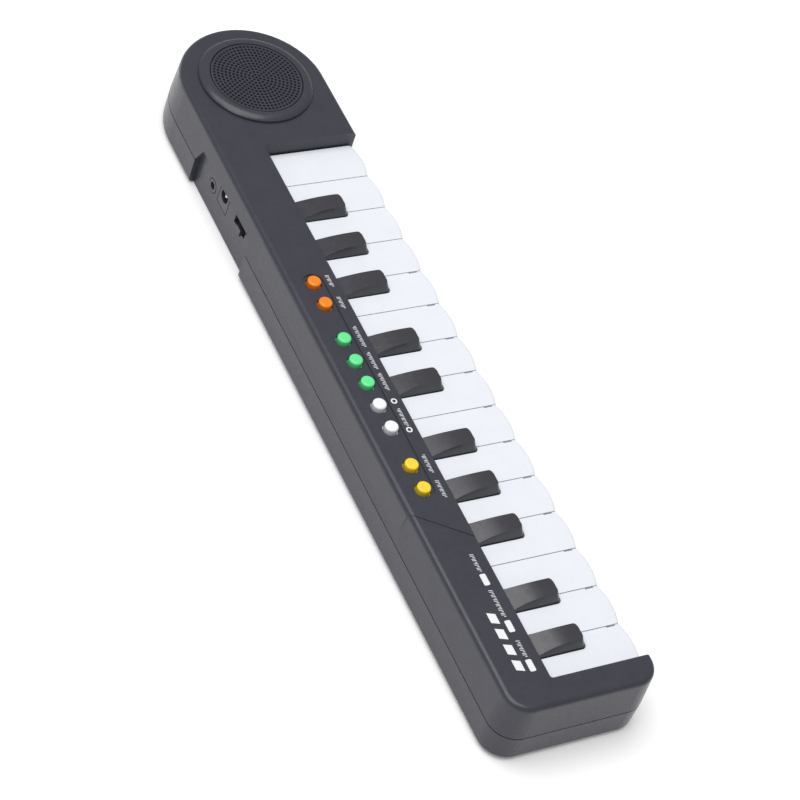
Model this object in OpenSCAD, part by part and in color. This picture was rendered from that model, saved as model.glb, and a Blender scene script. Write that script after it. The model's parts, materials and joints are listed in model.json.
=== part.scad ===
// Toy electronic keyboard: two octaves of keys, nine push buttons and one speaker.
// Origin: centre of the footprint, on the surface that the feet stand on.
// +X runs from the lowest note to the speaker, +Y to the back edge, +Z up.

/* [Case] */
// Overall length along X
case_len = 363; // [362:1:366]
// Overall width along Y at the parting line
case_w = 69; // [69:1:70]
// Height of the flat top above the table
top_z = 33; // [33:0.1:33.4]
// Height of the line where the two shells meet
part_z = 15; // [14.6:0.1:15]
// Wall thickness of both shells
wall = 2; // [1.8:0.1:2]
// Radius of the rounded top edge
edge_r = 2.4; // [2:0.1:2.6]
// How far the side walls lean outwards below the top edge
lean = 1.05; // [0.8:0.05:1.2]
// Corner radius of the left end at the parting line
corner_r = 11; // [10:0.5:12]

/* [Keys] */
// Spacing of the white keys
key_pitch = 18.5; // [18.4:0.05:18.5]
// Gap between two keys
key_gap = 0.4; // [0.35:0.05:0.5]
// Height of the white key tops
key_z = 26; // [26:0.1:26.2]
// Height of the black keys above the white ones
black_h = 4.5; // [4.2:0.1:4.8]
// Width of a black key at its foot
black_w = 10.8; // [10.4:0.1:11]

/* [Buttons] */
// Spacing of neighbouring buttons
button_pitch = 11.65; // [11.4:0.05:11.8]
// Radius of a button
button_r = 2.9; // [2.7:0.1:3]
// How far the buttons stand above the top
button_h = 2; // [1.8:0.1:2.2]

/* [Speaker] */
// Radius of the grille disc
grille_r = 20.4; // [20:0.1:20.5]
// Rings of holes in the grille
grille_rings = 11; // [8:1:11]
// Radius of a grille hole
grille_hole_r = 0.6; // [0.5:0.05:0.6]

/* [Hidden] */
WHITE_KEYS = 15;
BLACK_KEYS = 10;
WHITE_NODES = [for (k = [1:WHITE_KEYS]) str("white_key_", k)];
BLACK_NODES = [for (k = [1:BLACK_KEYS]) str("black_key_", k)];
BUTTON_NODES = [
    "tempo_button", "effect_button", "volume_down_button", "volume_up_button", "demo_all_button",
    "demo_one_button", "chord_button", "tone_button", "stop_button"
];

// Case outline
base_z = 0.8;
groove_h = 0.5;
groove_depth = 0.7;
half_w = case_w / 2;
left_x = -case_len / 2;
speaker_x = case_len / 2 - half_w;
corner_x = left_x + corner_r;
corner_y = half_w - corner_r;
under_z = top_z - wall;
floor_z = base_z + wall;
bottom_edge_r = 2.4;
big = 500;

// Key bed, open at the front
bed_left = -168.9;
bed_right = bed_left + WHITE_KEYS * key_pitch + 1.7;
keys_left = bed_left + 1.2;
bed_back = 11.65;
bed_corner_r = 1.2;
bed_front_r = 1.8;
stop_rib_y = [13.9, 15.1];
lip_y = [-30.3, -29.1];
lip_z = 17.4;

// White key
key_front = -34.3;
key_front_r = 24.7;
key_round = 1.6;
key_skirt = 6.5;
key_side = 4.2;
key_plate = 2.2;
key_wall = 1.4;
key_back = 13.5;
notch_y = [-30, -26];
notch_depth = 0.5;
notched_keys = 11;
tail_z = [22.2, 25.2];
tail_y = 8;
white_tail_w = 6;
black_tail_w = 5;

// Hinge of the keys: clips that turn on a round rail
hinge_y = 24;
hinge_z = 24.2;
rail_r = 1.2;
rail_fit = 0.05;
clip_r = 2.1;
beam_y = [26.9, 29.4];
beam_z = [22.2, 25.8];

// Black key: the notes it stands between, and how far it is off their line
black_lines = [for (octave = [0, 7]) for (line = [1, 2, 4, 5, 6]) octave + line];
black_shift = [-1.6, 1.6, -3.3, 0, 3.3];
black_front = -13.3;
black_top_front = -11.9;
black_back = 8.2;
black_slot = 0.4;
black_draft = 20;
black_round = 1.6;
black_apex_y = -8;
black_arch_r = 45;

// Push buttons, left to right, as steps of button_pitch from the first one
button_y = 22.4;
button_x0 = -75.9;
wide_step = 1.65;
button_steps = [
    0, 1, 1 + wide_step, 2 + wide_step, 3 + wide_step, 4 + wide_step, 5 + wide_step,
    5 + 2 * wide_step, 6 + 2 * wide_step
];
button_colors = ["gold", "gold", "white", "white", "limegreen", "limegreen", "limegreen", "orange", "orange"];
button_hole_r = button_r + 0.6;
button_flange_r = 4.1;
button_round = 0.9;
panel_depth = 0.6;
panel_r = 4.7;
panel_rise = 0.3;
panel_fade = [half_w - 0.3, 19];
panel_slant = 14.2;
panel_left = -101.7;
panel_right = 42.3;

// Speaker
bezel_r = 25.5;
bezel_in_r = 20.9;
bezel_h = 2.6;
bezel_crown_r = 4.6;
speaker_hole_r = 18.6;
grille_z = [top_z + 1.2, top_z + 2.3];

// Recess for the sockets in the back edge
recess_x = [66.7, 123];
recess_y = 31.8;
recess_z = 23.2;
recess_slant = 3.8;
plate_in = recess_y - wall;
plate_gap = 0.1;
audio_x = 108.2;
audio_z = 13.4;
audio_ring_r = 3.1;
audio_bore_r = 1.8;
dc_x = 97.4;
dc_w = 9;
dc_face_z = [11.3, 22.1];
dc_hole_z = 18;
dc_hole_r = 3.1;
switch_x = 80.2;
switch_z = 18;
switch_slot = [10.5, 5];
lever_travel = 4;
socket_gap = 0.35;
socket_top = 21.4;
jack_board_z = 8.2;

// Battery bay: two rows of two cells
cell_r = 7.1;
cell_len = 50.5;
cell_nub = 1.1;
cell_rows = [5.15, 19.85];
spring_len = 4.4;
bay_x0 = -149.3;
cell_gap = 0.1;
bay_x = [bay_x0, bay_x0 + spring_len + 2 * cell_len + cell_gap + 0.8];
bay_y = [-2.2, 27.2];
bay_wall = 1.3;
bay_roof = 18.6;
cell_z = floor_z + 0.2 + cell_r;

// Boards
board_t = 1.2;
contact_board_z = 8;
contact_board_y = [-28.5, -5];
dome_h = 3.2;
dome_top = contact_board_z + board_t + dome_h;
white_plunger_y = [-20, -18.8];
white_plunger_z = dome_top + 3.4;
black_plunger_y = [-8, -6.8];
black_plunger_z = dome_top + 2.6;
button_board_z = 26.6;
button_board_x = [button_x0 - 9, button_x0 + 9 + 9.3 * button_pitch];
board_hangers = [button_board_x[0] + 2.2, button_board_x[1] - 2.2];

// Screws that hold the shells together
screw_points = [[-174.6, 17], [-174.6, -17], [117, -26.5], [172, 12], [172, -12]];
screw_r = 1.23;
pilot_r = 1.25;
boss_r = 2.9;
low_boss_r = 4.4;
boss_z = 12;
counterbore = [3, 6];

// Feet
foot_points = [[-164, 22], [-164, -22], [140, 20], [140, -20]];
foot_r = 4;
foot_in = 0.6;

// Half of the upper shell's cross section, from the middle out to reach
module upper_half(reach, drop) {
    edge_x = reach - lean - edge_r;
    edge_z = top_z - drop - edge_r;
    polygon([
        [0, part_z], [reach, part_z], [reach - lean, edge_z], [edge_x, edge_z],
        [edge_x, top_z - drop], [0, top_z - drop]
    ]);
    translate([edge_x, edge_z]) circle(edge_r, $fn = 64);
}

// Half of the lower shell's cross section
module lower_half(reach, rise) {
    z0 = base_z + rise;
    r = bottom_edge_r;
    polygon([
        [0, z0], [reach - r, z0], [reach - r, z0 + r], [reach, z0 + r], [reach, part_z - groove_h],
        [reach - groove_depth, part_z - groove_h], [reach - groove_depth, part_z], [0, part_z]
    ]);
    translate([reach - r, z0 + r]) circle(r, $fn = 64);
}

module half_section(upper, reach, inset) {
    if (upper)
        upper_half(reach - inset, inset);
    else
        lower_half(reach - inset, inset);
}

// A shell's whole outline: a straight body, a round speaker end and two rounded corners
module outline(upper, inset) {
    translate([speaker_x, 0, 0])
        rotate([0, 0, -90])
            rotate_extrude(angle = 180, $fn = 128)
                half_section(upper, half_w, inset);
    translate([corner_x, 0, 0])
        rotate([90, 0, 90])
            linear_extrude(speaker_x - corner_x) {
                half_section(upper, half_w, inset);
                mirror([1, 0]) half_section(upper, half_w, inset);
            }
    translate([corner_x, corner_y, 0])
        rotate([90, 0, 0])
            linear_extrude(2 * corner_y)
                mirror([1, 0]) half_section(upper, corner_r, inset);
    for (side = [-1, 1])
        translate([corner_x, side * corner_y, 0])
            rotate([0, 0, side > 0 ? 90 : 180])
                rotate_extrude(angle = 90, $fn = 96)
                    half_section(upper, corner_r, inset);
}

// A box given by its limits on each axis
module block(x, y, z) {
    translate([x[0], y[0], z[0]]) cube([x[1] - x[0], y[1] - y[0], z[1] - z[0]]);
}

module bar_x(x, y, z, r) {
    translate([x[0], y, z]) rotate([0, 90, 0]) cylinder(h = x[1] - x[0], r = r, $fn = 32);
}

module bore_y(x, z, y, r) {
    translate([x, y[1], z]) rotate([90, 0, 0]) cylinder(h = y[1] - y[0], r = r, $fn = 48);
}

function button_x(b) = button_x0 + button_steps[b] * button_pitch;
function white_x(k) = keys_left + (k - 1) * key_pitch;
function black_x(b) = keys_left + black_lines[b] * key_pitch + black_shift[b % 5];
function black_at(line) = [for (b = [0:BLACK_KEYS - 1]) if (black_lines[b] == line) black_x(b)];

// Free span of a white key behind the black keys' fronts
slot_half = black_w / 2 + black_slot;
function white_free(k) = let(left = black_at(k - 1), right = black_at(k)) [
    len(left) > 0 ? left[0] + slot_half : white_x(k) + key_gap / 2,
    len(right) > 0 ? right[0] - slot_half : white_x(k) + key_pitch - key_gap / 2
];

// Raised panel around the buttons: it has slanted ends and runs out down the back wall
module raised_panel() {
    edge_y = half_w - lean - edge_r;
    edge_z = top_z - edge_r;
    rise_r = edge_r + panel_rise;
    slope = panel_slant / (edge_y - bed_back);
    far_y = half_w + 1;
    far_x = slope * (far_y - bed_back);
    intersection() {
        translate([-half_w * 4, 0, 0])
            rotate([90, 0, 90])
                linear_extrude(half_w * 8) {
                    polygon([
                        [bed_back, edge_z], [bed_back, top_z + panel_rise],
                        [edge_y, top_z + panel_rise], [edge_y, edge_z],
                        [edge_y + rise_r, edge_z], [panel_fade[0], panel_fade[1]],
                        [edge_y - 1, panel_fade[1]], [edge_y - 1, edge_z]
                    ]);
                    translate([edge_y, edge_z]) circle(rise_r, $fn = 64);
                }
        linear_extrude(top_z + 1)
            polygon([
                [panel_left, bed_back], [panel_right, bed_back],
                [panel_right + far_x, far_y], [panel_left + far_x, far_y]
            ]);
    }
}

module button_groove() {
    z = [top_z + panel_rise - panel_depth, top_z + 2];
    for (x = [button_x(0), button_x(8)])
        translate([x, button_y, z[0]]) cylinder(h = z[1] - z[0], r = panel_r, $fn = 64);
    block([button_x(0), button_x(8)], [button_y - panel_r, button_y + panel_r], z);
}

// Raised ring around the grille
module bezel() {
    crown_x = bezel_in_r + 1.2;
    z0 = top_z - wall;
    translate([speaker_x, 0, 0])
        rotate_extrude($fn = 128)
            intersection() {
                translate([bezel_in_r, z0]) square([bezel_r - bezel_in_r, wall + bezel_h]);
                union() {
                    translate([bezel_in_r, z0]) square([bezel_r - bezel_in_r, wall]);
                    translate([crown_x, top_z + bezel_h - bezel_crown_r]) circle(bezel_crown_r, $fn = 96);
                }
            }
}

// Screw boss of the upper shell
module upper_boss() {
    difference() {
        translate([0, 0, boss_z]) cylinder(h = under_z + 0.1 - boss_z, r = boss_r, $fn = 32);
        cylinder(h = 24, r = pilot_r, $fn = 32);
    }
}

// Cut-out for the keys: square at the front, with small rounds at the back
module bed_plan() {
    w = bed_right - bed_left;
    r = bed_corner_r;
    translate([bed_left, -big]) square([w, big + bed_back - r]);
    translate([bed_left + r, 0]) square([w - 2 * r, bed_back]);
    for (x = [bed_left + r, bed_right - r])
        translate([x, bed_back - r]) circle(r, $fn = 48);
}

// What is taken off to round the case corners at the front of the keys
module bed_front_rounds() {
    r = bed_front_r;
    for (side = [0, 1])
        translate([side > 0 ? bed_right : bed_left, -half_w, 0])
            mirror([1 - side, 0])
                difference() {
                    translate([0, -1]) square([r, r + 1]);
                    translate([r, r]) circle(r, $fn = 48);
                }
}

// Outline of the recess for the sockets, grown by a margin and running along Y
module recess_block(margin, y) {
    x0 = recess_x[0] - margin;
    x1 = recess_x[1] + margin;
    z1 = recess_z + margin;
    translate([0, y[1], 0])
        rotate([90, 0, 0])
            linear_extrude(y[1] - y[0])
                polygon([[x0, -1], [x1, -1], [x1, part_z], [x1 - recess_slant, z1], [x0, z1]]);
}

module top_case() {
    color("#46464b")
        difference() {
            union() {
                difference() {
                    union() {
                        outline(true, 0);
                        raised_panel();
                    }
                    outline(true, wall);
                    recess_block(0, [recess_y, big]);
                }
                bezel();
                intersection() {
                    outline(true, 0);
                    union() {
                        for (x = [bed_left - wall, bed_right])
                            block([x, x + wall], [-big, stop_rib_y[1]], [part_z, top_z]);
                        difference() {
                            recess_block(wall, [plate_in, big]);
                            recess_block(0, [recess_y, big]);
                        }
                    }
                }
                block([recess_x[0] - wall, recess_x[1] + wall], [plate_in, recess_y], [base_z, part_z + 0.1]);
                block([bed_left, bed_right], stop_rib_y, [tail_z[1] + 0.2, under_z + 0.1]);
                for (x = [-140, -60, 20])
                    block([x, x + 2], [beam_y[1], half_w - wall], [beam_z[0], beam_z[1]]);
                for (x = board_hangers)
                    translate([x, button_y, button_board_z + board_t]) cylinder(h = 4, r = 1.6, $fn = 32);
                for (p = screw_points)
                    translate([p[0], p[1], 0]) upper_boss();
            }
            linear_extrude(top_z + 1) {
                bed_plan();
                bed_front_rounds();
            }
            button_groove();
            for (b = [0:8])
                translate([button_x(b), button_y, 28]) cylinder(h = 6, r = button_hole_r, $fn = 48);
            translate([speaker_x, 0, under_z - 1]) cylinder(h = 9, r = speaker_hole_r, $fn = 96);
            translate([speaker_x, 0, top_z]) cylinder(h = 9, r = bezel_in_r, $fn = 96);
            socket_holes();
        }
}

// Openings in the recess wall for the audio jack, the DC jack and the switch
module socket_holes() {
    y = [plate_in - 1, recess_y + 1];
    slot = switch_slot / 2;
    dc_half = dc_w / 2 + socket_gap;
    bore_y(audio_x, audio_z, y, audio_ring_r + socket_gap);
    block([dc_x - dc_half, dc_x + dc_half], y, [dc_face_z[0] - socket_gap, dc_face_z[1] + socket_gap]);
    block([switch_x - slot[0], switch_x + slot[0]], y, [switch_z - slot[1], switch_z + slot[1]]);
}

// A row of posts that hold up a board
module posts(xs, ys, top) {
    for (x = xs, y = ys)
        translate([x, y, floor_z - 0.1]) cylinder(h = top - floor_z + 0.1, r = 1.8, $fn = 32);
}

module bottom_case() {
    color("#4b4b50")
        difference() {
            union() {
                difference() {
                    outline(false, 0);
                    outline(false, wall);
                    recess_block(0, [recess_y, big]);
                }
                block([bed_left, bed_right], lip_y, [floor_z - 0.1, lip_z]);
                for (x = [recess_x[0] - wall, recess_x[1]])
                    block([x, x + wall], [recess_y, half_w - wall + 0.1], [floor_z, part_z]);
                battery_bay();
                for (p = screw_points)
                    translate([p[0], p[1], floor_z - 0.1])
                        cylinder(h = boss_z - floor_z + 0.1, r = low_boss_r, $fn = 48);
                posts([-160, -105, -50, 0, 50, 100], [-26.5, -7], contact_board_z);
                posts([72, 114], [11, 26], jack_board_z);
            }
            block(bay_x, bay_y, [0, floor_z + 0.1]);
            block(
                [recess_x[0] - wall - plate_gap, recess_x[1] + wall + plate_gap],
                [plate_in - plate_gap, recess_y + plate_gap], [0, part_z + 1]
            );
            for (p = screw_points)
                translate([p[0], p[1], 0]) {
                    cylinder(h = part_z, r = screw_r + 0.35, $fn = 32);
                    cylinder(h = counterbore[1], r = counterbore[0], $fn = 32);
                }
            for (p = foot_points)
                translate([p[0], p[1], 0]) cylinder(h = base_z + foot_in, r = foot_r + 0.1, $fn = 48);
        }
}

module battery_bay() {
    difference() {
        block(
            [bay_x[0] - bay_wall, bay_x[1] + bay_wall], [bay_y[0] - bay_wall, bay_y[1] + bay_wall],
            [floor_z - 0.1, bay_roof]
        );
        block(bay_x, bay_y, [0, bay_roof - bay_wall]);
    }
}

// Cover of the battery bay, with two tabs on one side and a latch on the other
module battery_cover() {
    gap = 0.3;
    mid = (bay_x[0] + bay_x[1]) / 2;
    near = bay_y[0] + gap;
    far = bay_y[1] - gap;
    color("#48484d") {
        block([bay_x[0] + gap, bay_x[1] - gap], [near, far], [base_z, floor_z - 0.1]);
        for (x = [mid - 35, mid + 35])
            block([x - 4, x + 4], [near, near + 1.1], [base_z, floor_z + 2]);
        block([mid - 4.5, mid + 4.5], [far - 1.1, far], [base_z, floor_z + 2.4]);
    }
}

module rubber_feet() {
    color("#1d1d1f")
        for (p = foot_points)
            translate([p[0], p[1], 0]) cylinder(h = base_z + foot_in, r = foot_r, $fn = 48);
}

module case_screws() {
    head_z = counterbore[1] - 1.8;
    color("silver")
        for (p = screw_points)
            translate([p[0], p[1], 0])
                difference() {
                    union() {
                        translate([0, 0, head_z]) cylinder(h = 1.8, r = 2.6, $fn = 32);
                        translate([0, 0, head_z + 1]) cylinder(h = 16, r = screw_r, $fn = 32);
                    }
                    for (turn = [0, 90])
                        rotate([0, 0, turn]) translate([-1.5, -0.35, head_z - 1]) cube([3, 0.7, 2]);
                }
}

module speaker_grille() {
    ring_step = (grille_r - 0.9) / (grille_rings + 0.35);
    color("#505055")
        translate([speaker_x, 0, 0]) {
            translate([0, 0, grille_z[0]])
                linear_extrude(grille_z[1] - grille_z[0])
                    difference() {
                        circle(grille_r, $fn = 128);
                        circle(grille_hole_r, $fn = 16);
                        for (ring = [1:grille_rings], hole = [1:6 * ring])
                            rotate(hole * 60 / ring)
                                translate([ring * ring_step, 0]) circle(grille_hole_r, $fn = 16);
                    }
            translate([0, 0, top_z])
                difference() {
                    cylinder(h = grille_z[0] - top_z, r = grille_r, $fn = 96);
                    translate([0, 0, -1]) cylinder(h = 4, r = speaker_hole_r, $fn = 96);
                }
        }
}

module speaker_basket() {
    color("dimgray")
        translate([speaker_x, 0, 0])
            rotate_extrude($fn = 96)
                polygon([
                    [8, 22], [11, 22], [18.5, 29.3], [20.2, 29.3], [20.2, under_z - 0.05],
                    [17.6, under_z - 0.05], [17.6, 29.8], [10.4, 23.2], [8, 23.2]
                ]);
}

module speaker_cone() {
    color("#202022")
        translate([speaker_x, 0, 0])
            rotate_extrude($fn = 96)
                polygon([
                    [0, 25.3], [4, 24.7], [5, 25], [15.4, 30.1], [17.5, 29.85],
                    [17.5, 30.4], [15.2, 30.8], [4.6, 25.8], [4, 25.5], [0, 26.1]
                ]);
}

module speaker_magnet() {
    color("gray")
        translate([speaker_x, 0, 0]) {
            translate([0, 0, 15.4]) cylinder(h = 6.6, r = 10.5, $fn = 64);
            translate([0, 0, 21.9]) cylinder(h = 2.5, r = 3.6, $fn = 48);
        }
}

// Rail that the keys turn on, carried by a beam along the back
module key_frame() {
    color("#3a3a3e") {
        bar_x([bed_left + 0.2, bed_right - 0.2], hinge_y, hinge_z, rail_r);
        block([bed_left + 0.2, bed_right - 0.2], beam_y, beam_z);
        for (line = [0, 3, 7, 10, 14, WHITE_KEYS])
            let(x = keys_left + line * key_pitch)
                block([x - 0.9, x + 0.9], [hinge_y - 1.8, beam_y[0] + 0.1], beam_z);
    }
}

// Part of a key behind the case edge: a tail that ends in a clip on the rail
module key_tail(x, w) {
    difference() {
        union() {
            block([x - w / 2, x + w / 2], [tail_y, hinge_y], tail_z);
            bar_x([x - w / 2, x + w / 2], hinge_y, hinge_z, clip_r);
        }
        bar_x([x - w, x + w], hinge_y, hinge_z, rail_r + rail_fit);
    }
}

// Solid with the curved front that all white keys share, shrunk by inset
module white_front(x, inset, z) {
    r = key_front_r - inset;
    round_r = max(key_round - inset, 0.2);
    translate([x, key_front + key_front_r, 0])
        rotate_extrude($fn = 128) {
            polygon([
                [0, z[0]], [r, z[0]], [r, z[1] - round_r], [r - round_r, z[1] - round_r],
                [r - round_r, z[1]], [0, z[1]]
            ]);
            translate([r - round_r, z[1] - round_r]) circle(round_r, $fn = 48);
        }
    block([x - 12, x + 12], [key_front + key_front_r - 2, big], z);
}

module white_key(k) {
    x0 = white_x(k) + key_gap / 2;
    x1 = x0 + key_pitch - key_gap;
    mid = (x0 + x1) / 2;
    free = white_free(k);
    tail_x = (free[0] + free[1]) / 2;
    color("whitesmoke") {
        difference() {
            intersection() {
                block([x0, x1], [-50, key_back], [0, 50]);
                white_front(mid, 0, [key_z - key_skirt, key_z]);
            }
            intersection() {
                block([x0 - 1, x1 + 1], [-50, key_back + 1], [0, key_z - key_side]);
                white_front(mid, key_wall, [0, 50]);
            }
            intersection() {
                block([x0 + key_wall, x1 - key_wall], [-50, black_front - 1.8], [0, key_z - key_plate]);
                white_front(mid, key_wall, [0, 50]);
            }
            for (x = concat(black_at(k - 1), black_at(k)))
                translate([x, 0, 0])
                    linear_extrude(50)
                        rounded_front(slot_half, black_front - black_slot, black_round + black_slot);
            if (k <= notched_keys)
                block([x1 - notch_depth, x1 + 1], notch_y, [0, 50]);
            block(
                [free[0] + key_wall, free[1] - key_wall], [black_front + 1.5, tail_y], [0, key_z - key_plate]
            );
        }
        key_tail(tail_x, white_tail_w);
        block([mid - 2.5, mid + 2.5], white_plunger_y, [white_plunger_z, key_z - key_plate + 0.1]);
    }
}

function arch_z(y) = key_z + black_h + sqrt(pow(black_arch_r, 2) - pow(y - black_apex_y, 2)) - black_arch_r;

module black_side() {
    steps = 12;
    polygon(concat(
        [[key_back, key_z], [key_back, tail_z[0]], [black_front, tail_z[0]], [black_front, key_z]],
        [[black_top_front, arch_z(black_top_front)]],
        [for (i = [0:steps]) let(y = black_apex_y + (black_back - black_apex_y) * i / steps) [y, arch_z(y)]],
        [[black_back, key_z]]
    ));
}

// Plan of a key or its opening: straight sides that start at y = front, with rounded front corners
module rounded_front(half, front, r) {
    translate([-half, front + r]) square([2 * half, big]);
    translate([r - half, front]) square([2 * (half - r), big]);
    for (x = [r - half, half - r])
        translate([x, front + r]) circle(r, $fn = 64);
}

// What leaves a black key one drafted side, with the same rounded corner
module black_draft_form(side) {
    r = black_round;
    lean = atan((black_top_front - black_front) / black_h);
    translate([side * black_w / 2, black_front, key_z])
        rotate([-lean, -side * black_draft, 0])
            translate([0, 0, -20])
                linear_extrude(40)
                    mirror([(side + 1) / 2, 0]) {
                        translate([0, r]) square(50);
                        translate([r, -20]) square([50, 70]);
                        translate([r, r]) circle(r, $fn = 64);
                    }
}

module black_key(k) {
    x = black_x(k - 1);
    half = black_w / 2;
    color("#2b2b2f") {
        difference() {
            translate([x, 0, 0])
                intersection() {
                    translate([-half, 0, 0]) rotate([90, 0, 90]) linear_extrude(black_w) black_side();
                    linear_extrude(50) rounded_front(half, black_front, black_round);
                    black_draft_form(-1);
                    black_draft_form(1);
                }
            block(
                [x - half + key_wall, x + half - key_wall], [black_front + 2.4, tail_y - 2], [0, key_z + 1]
            );
        }
        key_tail(x, black_tail_w);
        block([x - 1.5, x + 1.5], black_plunger_y, [black_plunger_z, key_z + 1.1]);
    }
}

module push_button(b) {
    top = top_z + button_h;
    flange_z = [under_z - 1.1, under_z - 0.1];
    edge = button_r - button_round;
    color(button_colors[b])
        translate([button_x(b), button_y, 0])
            rotate_extrude($fn = 64) {
                polygon([
                    [0, flange_z[0] - 0.3], [2, flange_z[0] - 0.3], [2, flange_z[0]],
                    [button_flange_r, flange_z[0]], [button_flange_r, flange_z[1]],
                    [button_r, flange_z[1]], [button_r, top - button_round],
                    [edge, top - button_round], [edge, top], [0, top]
                ]);
                translate([edge, top - button_round]) circle(button_round, $fn = 32);
            }
}

module board(x, y, z) {
    block(x, y, [z, z + board_t]);
}

module key_contact_board() {
    color("seagreen") board([-166, 107], contact_board_y, contact_board_z);
}

module key_dome(x, y, z) {
    translate([x, y, z]) cylinder(h = dome_h, r1 = 2.6, r2 = 1.8, $fn = 32);
}

// Carbon contacts under the keys, moulded as one strip of domes
module key_rubber_strip() {
    z = contact_board_z + board_t;
    color("lightgray") {
        block([-166, 107], [-24, -5.5], [z, z + 0.6]);
        for (k = [1:WHITE_KEYS])
            key_dome(white_x(k) + key_pitch / 2, white_plunger_y[0] + 0.6, z);
        for (b = [0:BLACK_KEYS - 1])
            key_dome(black_x(b), black_plunger_y[0] + 0.6, z);
    }
}

// Sealed chip under the contact board
module sound_chip() {
    color("black")
        translate([20, -14, contact_board_z - 1.4]) {
            cylinder(h = 1.4, r = 5, $fn = 48);
            translate([0, 0, -0.5]) cylinder(h = 0.6, r = 3.4, $fn = 48);
        }
}

module button_board() {
    color("seagreen") board(button_board_x, [16, 28.6], button_board_z);
}

module button_rubber_pad() {
    z = button_board_z + board_t;
    color("lightgray") {
        block([button_x(0) - 4.5, button_x(8) + 4.5], [17.5, 27.3], [z, z + 0.3]);
        for (b = [0:8])
            translate([button_x(b), button_y, z]) cylinder(h = 0.5, r = 1.8, $fn = 32);
    }
}

module jack_board() {
    color("seagreen") board([69.5, 116], [8.5, 28.8], jack_board_z);
}

module audio_jack() {
    color("#151517")
        difference() {
            union() {
                block([audio_x - 4, audio_x + 4], [17, plate_in - 0.1], [jack_board_z + board_t, audio_z + 4]);
                bore_y(audio_x, audio_z, [plate_in - 0.2, recess_y + 0.1], audio_ring_r);
            }
            bore_y(audio_x, audio_z, [18.5, recess_y + 1], audio_bore_r);
        }
}

module dc_jack() {
    half = dc_w / 2;
    color("#151517")
        difference() {
            union() {
                block([dc_x - half, dc_x + half], [18, plate_in - 0.1], [jack_board_z + board_t, socket_top]);
                block([dc_x - half, dc_x + half], [plate_in - 0.2, recess_y], dc_face_z);
            }
            bore_y(dc_x, dc_hole_z, [21, recess_y + 1], dc_hole_r);
        }
}

module dc_jack_pin() {
    tip_y = recess_y - 1.4;
    color("silver") {
        bore_y(dc_x, dc_hole_z, [21, tip_y], 1);
        translate([dc_x, tip_y, dc_hole_z]) sphere(1, $fn = 32);
    }
}

module power_switch() {
    half = 6.5;
    slide = 4.6;
    color("silver")
        difference() {
            block([switch_x - half, switch_x + half], [23, plate_in - 0.1], [jack_board_z + board_t, socket_top]);
            block([switch_x - slide, switch_x + slide], [24.4, recess_y], [switch_z - 2, switch_z + 2]);
        }
}

module power_switch_lever() {
    x = switch_x - lever_travel / 2;
    color("#17171a") {
        block([x - 2.3, x + 2.3], [24.7, 28.9], [switch_z - 1.8, switch_z + 1.8]);
        block([x - 2, x + 2], [28.8, recess_y + 2.1], [switch_z - 1.7, switch_z + 1.7]);
    }
}

module battery_cells() {
    body_len = cell_len - cell_nub;
    for (y = cell_rows, cell = [0, 1])
        let(x0 = bay_x[0] + spring_len + cell * (cell_len + cell_gap)) {
            color("#2f5d8a") bar_x([x0, x0 + body_len], y, cell_z, cell_r);
            color("silver") bar_x([x0 + body_len - 0.1, x0 + cell_len], y, cell_z, 2.6);
        }
}

module contact_plate(x, y) {
    block([x, x + 0.5], [y - 5, y + 5], [cell_z - 5, cell_z + 5]);
}

module battery_plates() {
    color("silver")
        for (y = cell_rows)
            contact_plate(bay_x[1] - 0.8, y);
}

module battery_springs() {
    wire_r = 0.5;
    color("silver")
        for (y = cell_rows) {
            contact_plate(bay_x[0] + 0.1, y);
            for (turn = [0:3])
                translate([bay_x[0] + 1 + turn * 0.95, y, cell_z])
                    rotate([0, 90, 0])
                        rotate_extrude($fn = 48) translate([4 - turn * 0.15, 0]) circle(wire_r, $fn = 16);
        }
}

top_case();
bottom_case();
speaker_grille();
speaker_basket();
speaker_cone();
speaker_magnet();
key_frame();
key_contact_board();
key_rubber_strip();
sound_chip();
button_board();
button_rubber_pad();
jack_board();
audio_jack();
dc_jack();
dc_jack_pin();
power_switch();
power_switch_lever();
battery_cover();
battery_cells();
battery_springs();
battery_plates();
case_screws();
rubber_feet();
for (k = [1:WHITE_KEYS]) white_key(k);
for (k = [1:BLACK_KEYS]) black_key(k);
for (b = [0:8]) push_button(b);
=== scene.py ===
"""Looks of the toy electronic keyboard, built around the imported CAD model.

Metres throughout, in the row frame: +X from the lowest note to the speaker, +Y to the back, +Z up.
"""
import json
from math import cos, pi, radians, sin

import bmesh
import bpy
from mathutils import Matrix, Vector


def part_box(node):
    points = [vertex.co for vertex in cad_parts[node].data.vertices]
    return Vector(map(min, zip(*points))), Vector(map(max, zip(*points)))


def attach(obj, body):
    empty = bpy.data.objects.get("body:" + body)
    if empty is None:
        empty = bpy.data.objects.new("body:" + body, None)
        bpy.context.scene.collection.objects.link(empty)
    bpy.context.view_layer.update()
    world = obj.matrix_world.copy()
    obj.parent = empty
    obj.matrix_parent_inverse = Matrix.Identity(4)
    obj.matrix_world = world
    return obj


MM = 0.001
CASE = "case"
NOISE_MIDDLE = (0.3, 0.7)

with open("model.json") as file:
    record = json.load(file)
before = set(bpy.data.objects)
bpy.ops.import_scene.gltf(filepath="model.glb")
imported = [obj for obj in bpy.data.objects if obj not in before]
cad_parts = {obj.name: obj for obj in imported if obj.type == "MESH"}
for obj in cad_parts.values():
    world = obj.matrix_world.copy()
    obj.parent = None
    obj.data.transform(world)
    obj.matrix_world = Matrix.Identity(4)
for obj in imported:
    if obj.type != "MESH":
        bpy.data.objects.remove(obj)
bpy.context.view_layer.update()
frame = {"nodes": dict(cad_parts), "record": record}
nodes = frame["nodes"]
scene = bpy.context.scene
scene.view_settings.view_transform = "Standard"


# ---------------------------------------------------------------- materials


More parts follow.
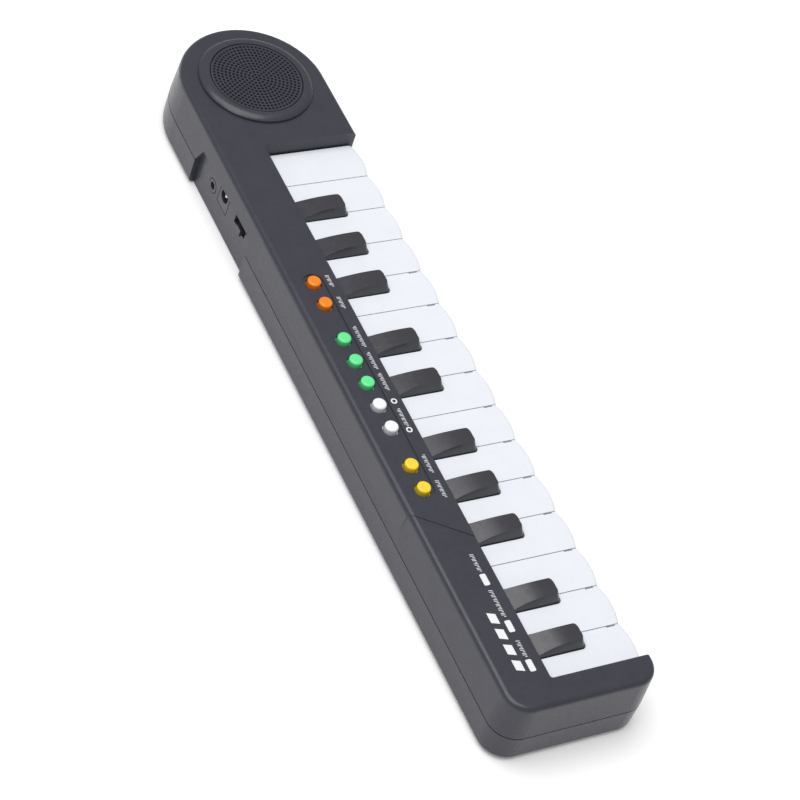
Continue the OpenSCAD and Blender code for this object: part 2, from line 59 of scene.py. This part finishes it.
class Shader:
    """A new material with a Principled shader, and short ways to add the nodes that feed it."""

    def __init__(self, name):
        self.material = bpy.data.materials.new(name)
        self.material.use_nodes = True
        self.tree = self.material.node_tree
        self.bsdf = self.tree.nodes["Principled BSDF"]
        self.coords = self.add("ShaderNodeTexCoord").outputs["Object"]

    def add(self, kind, inputs=None, **settings):
        node = self.tree.nodes.new(kind)
        for key, value in settings.items():
            setattr(node, key, value)
        for key, value in (inputs or {}).items():
            if isinstance(value, bpy.types.NodeSocket):
                self.tree.links.new(value, node.inputs[key])
            else:
                node.inputs[key].default_value = value
        return node

    def set(self, **values):
        for key, value in values.items():
            self.bsdf.inputs[key.replace("_", " ")].default_value = value

    def link(self, socket, key):
        self.tree.links.new(socket, self.bsdf.inputs[key])

    def noise(self, size, detail=2.0, roughness=0.5):
        """Noise with features about size metres across."""
        inputs = {"Vector": self.coords, "Scale": 1 / size, "Detail": detail, "Roughness": roughness}
        return self.add("ShaderNodeTexNoise", inputs).outputs["Fac"]

    def spread(self, socket, low, high):
        """Maps the middle of a noise's range onto low to high."""
        start, end = NOISE_MIDDLE
        inputs = {"Value": socket, "From Min": start, "From Max": end, "To Min": low, "To Max": high}
        return self.add("ShaderNodeMapRange", inputs).outputs["Result"]

    def shade(self, color, socket, variation):
        """The base colour, darkened and lightened by variation along a noise."""
        darker = tuple(c * (1 - variation) for c in color) + (1,)
        lighter = tuple(min(c * (1 + variation), 1) for c in color) + (1,)
        ramp = self.add("ShaderNodeValToRGB", {"Fac": socket})
        for element, position, shade in zip(ramp.color_ramp.elements, NOISE_MIDDLE, (darker, lighter)):
            element.position = position
            element.color = shade
        self.link(ramp.outputs["Color"], "Base Color")

    def bump(self, layers):
        """layers: (noise socket, height in metres) pairs, the coarsest first."""
        normal = None
        for socket, height in layers:
            inputs = {"Height": socket, "Strength": 1.0, "Distance": height}
            if normal is not None:
                inputs["Normal"] = normal
            normal = self.add("ShaderNodeBump", inputs).outputs["Normal"]
        self.link(normal, "Normal")


def plastic(name, color, roughness, grain=0.0, variation=0.05, specular=0.5):
    """Injection-moulded plastic: a fine spark-eroded grain over faint moulding waves."""
    s = Shader(name)
    s.shade(color, s.noise(9 * MM, 3), variation)
    s.set(Specular_IOR_Level=specular)
    s.link(s.spread(s.noise(2.5 * MM, 4), roughness - 0.04, roughness + 0.05), "Roughness")
    layers = [(s.noise(14 * MM, 1), 0.004 * MM)]
    if grain > 0:
        layers.append((s.noise(0.35 * MM, 2, 0.6), grain))
    s.bump(layers)
    return s


def metal(name, color, roughness):
    """Plated or bare metal with fine scratches."""
    scratch_size = 0.3 * MM
    s = Shader(name)
    s.set(Metallic=1.0)
    s.shade(color, s.noise(3 * MM, 3), 0.06)
    s.link(s.spread(s.noise(scratch_size, 4), roughness - 0.06, roughness + 0.08), "Roughness")
    s.bump([(s.noise(scratch_size, 3), 0.002 * MM)])
    return s


def paper(name, color):
    """Pressed paper pulp with visible fibres."""
    s = Shader(name)
    s.shade(color, s.noise(0.8 * MM, 5), 0.25)
    s.set(Roughness=0.85)
    s.bump([(s.noise(0.5 * MM, 4), 0.03 * MM)])
    return s


def rubber(name, color):
    """Dull moulded rubber."""
    s = Shader(name)
    s.shade(color, s.noise(4 * MM, 3), 0.08)
    s.link(s.spread(s.noise(1.2 * MM, 3), 0.64, 0.76), "Roughness")
    s.bump([(s.noise(0.25 * MM, 3), 0.006 * MM)])
    return s


def circuit_board(name, color):
    """Lacquered board with the woven glass just visible."""
    s = Shader(name)
    weave = s.add("ShaderNodeTexWave", {"Vector": s.coords, "Scale": 600.0, "Distortion": 1.5})
    s.shade(color, s.noise(2 * MM, 4), 0.2)
    s.set(Roughness=0.35)
    s.bump([(weave.outputs["Fac"], 0.004 * MM)])
    return s


CASE_GREY = (0.046, 0.047, 0.061)
KEY_WHITE = (0.80, 0.825, 0.875)
MATERIALS = {
    "case_plastic": plastic("case_plastic", CASE_GREY, 0.28, grain=0.003 * MM, specular=0.36),
    "white_key_plastic": plastic("white_key_plastic", KEY_WHITE, 0.3, variation=0.012),
    "black_key_plastic": plastic("black_key_plastic", (0.043, 0.043, 0.052), 0.24, variation=0.03),
    "yellow_plastic": plastic("yellow_plastic", (0.96, 0.66, 0.03), 0.3, variation=0.03),
    "white_button_plastic": plastic("white_button_plastic", (0.86, 0.88, 0.91), 0.3, variation=0.015),
    "green_plastic": plastic("green_plastic", (0.13, 0.80, 0.30), 0.3, variation=0.03),
    "orange_plastic": plastic("orange_plastic", (0.98, 0.24, 0.012), 0.3, variation=0.03),
    "frame_plastic": plastic("frame_plastic", (0.03, 0.03, 0.033), 0.5, grain=0.01 * MM),
    "black_plastic": plastic("black_plastic", CASE_GREY, 0.32, grain=0.004 * MM),
    "switch_plastic": plastic("switch_plastic", (0.03, 0.03, 0.032), 0.35),
    "paper_cone": paper("paper_cone", (0.012, 0.012, 0.012)),
    "circuit_board": circuit_board("circuit_board", (0.02, 0.14, 0.05)),
    "grey_rubber": rubber("grey_rubber", (0.32, 0.32, 0.33)),
    "black_rubber": rubber("black_rubber", (0.02, 0.02, 0.02)),
    "steel": metal("steel", (0.55, 0.55, 0.56), 0.35),
    "plated_metal": metal("plated_metal", (0.8, 0.79, 0.76), 0.18),
    "battery_wrap": plastic("battery_wrap", (0.02, 0.07, 0.25), 0.3, variation=0.1),
}
print_ink = plastic("print_ink", (0.82, 0.82, 0.84), 0.5, variation=0.02)

for part in frame["record"]["subparts"]:
    mesh = nodes[part["node"]].data
    mesh.materials.clear()
    mesh.materials.append(MATERIALS[part["material_slot"]].material)


# ---------------------------------------------------------------- softened edges


WELD_DISTANCE = 0.002 * MM
FLAT_WITHIN = radians(0.2)
SHARP_OVER = radians(35)


def soften(node, width):
    """Rounds a CAD node's sharp edges a little, as a mould does, with modifiers only."""
    obj = nodes[node]
    weld = obj.modifiers.new("weld", "WELD")
    weld.merge_threshold = WELD_DISTANCE
    flat = obj.modifiers.new("flat", "DECIMATE")
    flat.decimate_type = "DISSOLVE"
    flat.angle_limit = FLAT_WITHIN
    bevel = obj.modifiers.new("bevel", "BEVEL")
    bevel.width = width
    bevel.segments = 3
    bevel.limit_method = "ANGLE"
    bevel.angle_limit = SHARP_OVER
    shading = obj.modifiers.new("shading", "WEIGHTED_NORMAL")
    shading.keep_sharp = False
    for polygon in obj.data.polygons:
        polygon.use_smooth = True


KEY_EDGES = {"white_key": 0.28 * MM, "black_key": 0.3 * MM}
for name in nodes:
    for kind, width in KEY_EDGES.items():
        if name.startswith(kind):
            soften(name, width)


# ---------------------------------------------------------------- printed marks


PRINT_Z = 0.03 * MM  # how far the ink stands above the plastic
PRINT_SLANT = 0.18
CORNER_STEPS = 6


class Print:
    """White marks printed on the top, as one thin mesh."""

    def __init__(self, name, z):
        self.name = name
        self.z = z
        self.bm = bmesh.new()

    def shape(self, points):
        self.bm.faces.new([self.bm.verts.new((x, y, self.z)) for x, y in points])

    def bar(self, x, y, width, height, slant=PRINT_SLANT):
        """A slanted bar whose lower left corner is at x, y. It reads from the front, towards +X."""
        lean = slant * height
        self.shape([(x, y), (x + width, y), (x + width + lean, y + height), (x + lean, y + height)])

    def badge(self, x, y, width, height, radius):
        """A rounded rectangle centred on x, y."""
        points = []
        for corner, (sx, sy) in enumerate([(1, 1), (-1, 1), (-1, -1), (1, -1)]):
            cx = x + sx * (width / 2 - radius)
            cy = y + sy * (height / 2 - radius)
            for step in range(CORNER_STEPS + 1):
                a = (corner + step / CORNER_STEPS) * pi / 2
                points.append((cx + radius * cos(a), cy + radius * sin(a)))
        self.shape(points)

    def ring(self, x, y, outer, inner, steps=32):
        angles = [2 * pi * i / steps for i in range(steps)]
        rings = []
        for radius in (outer, inner):
            points = [(x + radius * cos(a), y + radius * sin(a), self.z) for a in angles]
            rings.append([self.bm.verts.new(point) for point in points])
        for i in range(steps):
            j = (i + 1) % steps
            self.bm.faces.new([rings[0][i], rings[0][j], rings[1][j], rings[1][i]])

    def word(self, x0, x1, y, height=1.7 * MM, step=0.72 * MM, stroke=0.27 * MM):
        """A row of plain ticks, every third one short, that stands where the real one has a word."""
        count = round((x1 - x0) / step)
        for i in range(count):
            tick = height if i % 3 else 0.55 * height
            self.bar(x0 + i * step, y, stroke, tick)

    def finish(self):
        bmesh.ops.recalc_face_normals(self.bm, faces=self.bm.faces)
        mesh = bpy.data.meshes.new(self.name)
        self.bm.to_mesh(mesh)
        self.bm.free()
        for polygon in mesh.polygons:
            if polygon.normal.z < 0:
                polygon.flip()
        obj = bpy.data.objects.new(self.name, mesh)
        scene.collection.objects.link(obj)
        mesh.materials.append(print_ink.material)
        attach(obj, CASE)
        return obj


def middle(node):
    low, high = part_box(node)
    return (low + high) / 2


FLAT_TOP = 33 * MM
PANEL_TOP = 33.3 * MM
WORD_Y = 14.4 * MM

# Each button's row of ticks, as its start and end along X from the button's middle
button_words = {
    "tempo_button": (-5.8 * MM, 2.6 * MM),
    "effect_button": (-5.1 * MM, 4.4 * MM),
    "demo_all_button": (-5.2 * MM, 4.4 * MM),
    "demo_one_button": (-5.7 * MM, 3.5 * MM),
    "chord_button": (-5.5 * MM, 5.7 * MM),
    "tone_button": (-3.7 * MM, 2.5 * MM),
    "stop_button": (-3.4 * MM, 3.0 * MM),
}
for node, (left, right) in button_words.items():
    mark = Print("mark_" + node.replace("_button", ""), PANEL_TOP + PRINT_Z)
    x = middle(node).x
    mark.word(x + left, x + right, WORD_Y)
    mark.finish()

volume = Print("mark_volume", PANEL_TOP + PRINT_Z)
minus_x = middle("volume_down_button").x
plus_x = middle("volume_up_button").x
volume.word(minus_x - 0.5 * MM, plus_x - 2.6 * MM, WORD_Y)
for x in (minus_x - 2.4 * MM, plus_x + 0.8 * MM):
    volume.ring(x, WORD_Y + 0.8 * MM, 1.35 * MM, 0.75 * MM)
volume.finish()

# Three badges left of the panel, each with the start and end of its ticks, in millimetres along X
left_badges = ((-161.7, -157.9, -149.8), (-143.5, -139.2, -126.6), (-121.4, -117.6, -108.8))
left_row = Print("mark_left_row", FLAT_TOP + PRINT_Z)
for badge_x, word_start, word_end in left_badges:
    left_row.badge(badge_x * MM, 17 * MM, width=5.4 * MM, height=2.6 * MM, radius=0.6 * MM)
    left_row.word(word_start * MM, word_end * MM, 16.3 * MM)
left_row.finish()

EMBLEM_X = -163.5 * MM
EMBLEM_STEP = 7.3 * MM
emblem = Print("mark_emblem", FLAT_TOP + PRINT_Z)
for i in range(4):
    emblem.bar(EMBLEM_X + i * EMBLEM_STEP, 20.2 * MM, width=4.6 * MM, height=3.4 * MM, slant=0.35)
emblem.finish()


# ---------------------------------------------------------------- floor, light, camera


FLOOR_GLOW = 0.14  # keeps the shaded floor near white


def new_floor():
    half = 2.0
    mesh = bpy.data.meshes.new("floor")
    corners = [(-half, -half, 0), (half, -half, 0), (half, half, 0), (-half, half, 0)]
    mesh.from_pydata(corners, [], [(0, 1, 2, 3)])
    obj = bpy.data.objects.new("floor", mesh)
    scene.collection.objects.link(obj)
    s = Shader("floor_paper")
    s.shade((0.97, 0.97, 0.972), s.noise(60 * MM, 3), 0.008)
    s.set(Roughness=0.9, Specular_IOR_Level=0.1)
    s.set(Emission_Strength=FLOOR_GLOW, Emission_Color=(1, 1, 1, 1))
    mesh.materials.append(s.material)


def area_light(name, position, target, size, power):
    light = bpy.data.lights.new(name, "AREA")
    light.shape = "RECTANGLE"
    light.size, light.size_y = size
    light.energy = power
    obj = bpy.data.objects.new(name, light)
    scene.collection.objects.link(obj)
    obj.location = position
    obj.rotation_euler = (Vector(target) - Vector(position)).to_track_quat("-Z", "Y").to_euler()


def soft_world(horizon, zenith):
    """Pale surroundings, graded by height and a little bluish."""
    world = bpy.data.worlds.new("studio")
    scene.world = world
    world.use_nodes = True
    tree = world.node_tree
    background = tree.nodes["Background"]
    coords = tree.nodes.new("ShaderNodeTexCoord")
    split = tree.nodes.new("ShaderNodeSeparateXYZ")
    ramp = tree.nodes.new("ShaderNodeValToRGB")
    ramp.color_ramp.elements[0].color = (horizon, horizon, horizon * 1.01, 1)
    ramp.color_ramp.elements[1].color = (zenith, zenith, zenith * 1.02, 1)
    tree.links.new(coords.outputs["Generated"], split.inputs["Vector"])
    tree.links.new(split.outputs["Z"], ramp.inputs["Fac"])
    tree.links.new(ramp.outputs["Color"], background.inputs["Color"])
    background.inputs["Strength"].default_value = 1.0


def new_camera(aim, distance, azimuth, elevation, roll, lens):
    """A camera looking at aim. Azimuth is measured from +X towards +Y."""
    camera = bpy.data.cameras.new("camera")
    camera.lens = lens
    camera.sensor_width = 36
    obj = bpy.data.objects.new("camera", camera)
    scene.collection.objects.link(obj)
    az, el = radians(azimuth), radians(elevation)
    back = Vector((cos(el) * cos(az), cos(el) * sin(az), sin(el)))
    right = Vector((-sin(az), cos(az), 0))
    up = back.cross(right)
    turned_right = cos(radians(roll)) * right + sin(radians(roll)) * up
    turned_up = back.cross(turned_right)
    rotation = Matrix((turned_right, turned_up, back)).transposed()
    obj.matrix_world = Matrix.Translation(Vector(aim) + distance * back) @ rotation.to_4x4()
    scene.camera = obj


new_floor()
soft_world(0.35, 0.3)
area_light("key_light", (0.05, 0.3, 1.3), (0, 0, 0), (1.3, 1.3), 19.0)
new_camera(
    aim=(-27.53 * MM, 7.80 * MM, 26 * MM), distance=1.0862,
    azimuth=137.272, elevation=46.633, roll=23.509, lens=121.6
)
